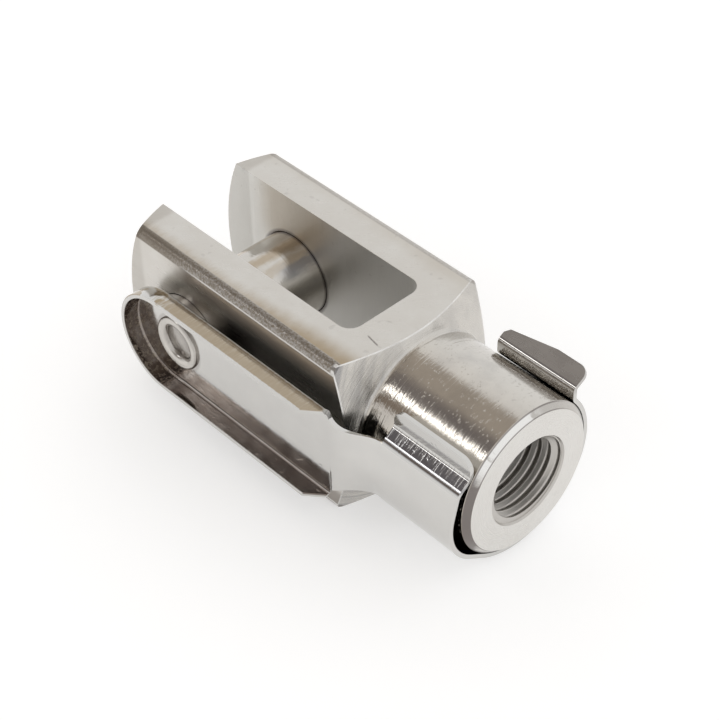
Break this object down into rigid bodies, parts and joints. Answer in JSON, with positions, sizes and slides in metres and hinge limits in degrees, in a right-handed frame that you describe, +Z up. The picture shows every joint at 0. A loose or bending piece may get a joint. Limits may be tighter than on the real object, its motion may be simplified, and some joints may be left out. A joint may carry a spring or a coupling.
{
  "type": "rod clevis with spring clip pin",
  "caption": "Forked rod end with a threaded neck and a cross pin, held in by a folded spring clip that snaps round the neck.",
  "frame": {"origin": "centre of the cross pin, midway between the two ears", "axes": "+X along the rod axis, out of the threaded neck; +Y along the pin, towards its free end; +Z up, towards the open side of the clasp"},
  "size_m": [0.0515, 0.0242, 0.02],
  "materials": {
    "fork_plating": "satin nickel plate over turned and milled steel",
    "pin_plating": "bright nickel plate over turned steel",
    "clip_sheet": "bright nickel plate over spring steel sheet"
  },
  "bodies": {
    "fork": {"fork_body": "fork_plating"},
    "clip": {"clevis_pin": "pin_plating", "spring_clip": "clip_sheet"}
  },
  "joints": [
    {"name": "clip_swing", "type": "hinge", "parent": "fork", "child": "clip", "pos_m": [0, 0, 0], "axis": [0, 1, 0], "range_deg": [0, 325], "deforming": ["spring_clip"]}
  ]
}
